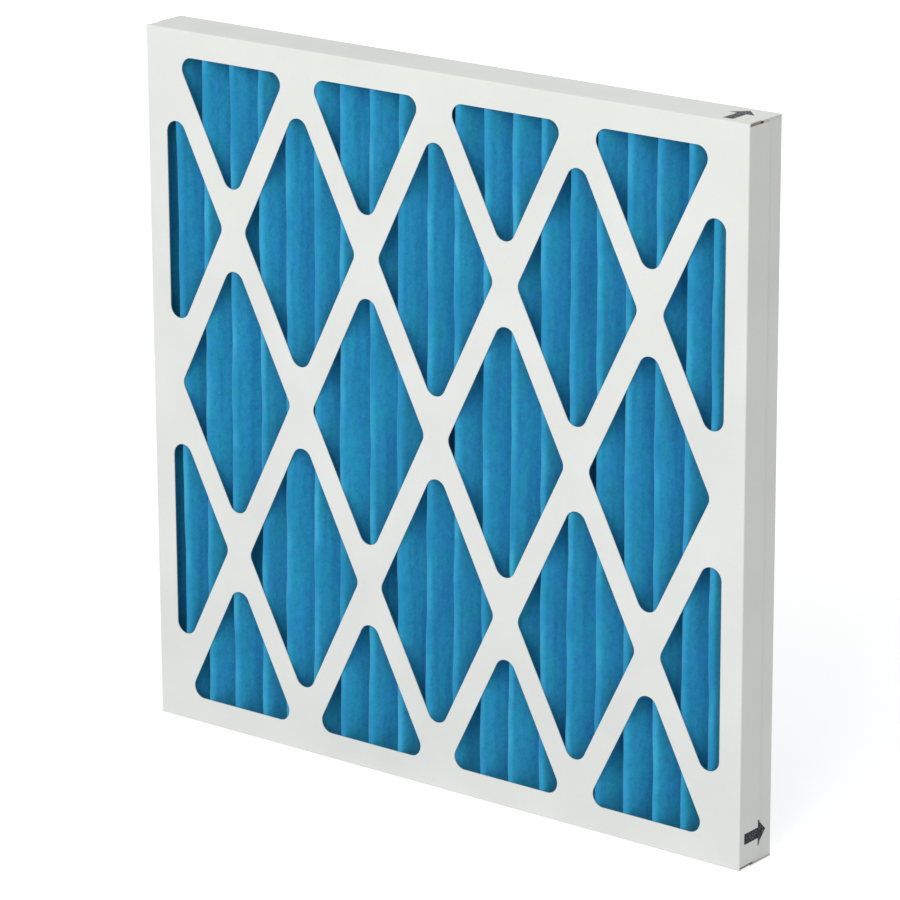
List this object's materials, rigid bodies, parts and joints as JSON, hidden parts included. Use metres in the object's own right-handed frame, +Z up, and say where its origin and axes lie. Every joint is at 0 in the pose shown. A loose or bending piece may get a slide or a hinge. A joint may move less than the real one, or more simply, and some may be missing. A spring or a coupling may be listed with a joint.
{
  "type": "pleated panel air filter",
  "caption": "Square pleated panel air filter: blue nonwoven pleats between white board trays with a diamond lattice face.",
  "frame": {"origin": "Middle of the bottom edge, halfway between the front and rear faces.", "axes": "X across the pleats, Y through the filter from the front lattice face to the rear one, Z up along the pleats."},
  "size_m": [0.594, 0.044, 0.594],
  "materials": {
    "board": "smooth white clay-coated board",
    "media": "blue nonwoven synthetic fibre",
    "grid": "galvanised wire"
  },
  "bodies": {
    "root": {"front_frame": "board", "rear_frame": "board", "pleated_media": "media", "support_grid": "grid"}
  },
  "joints": []
}
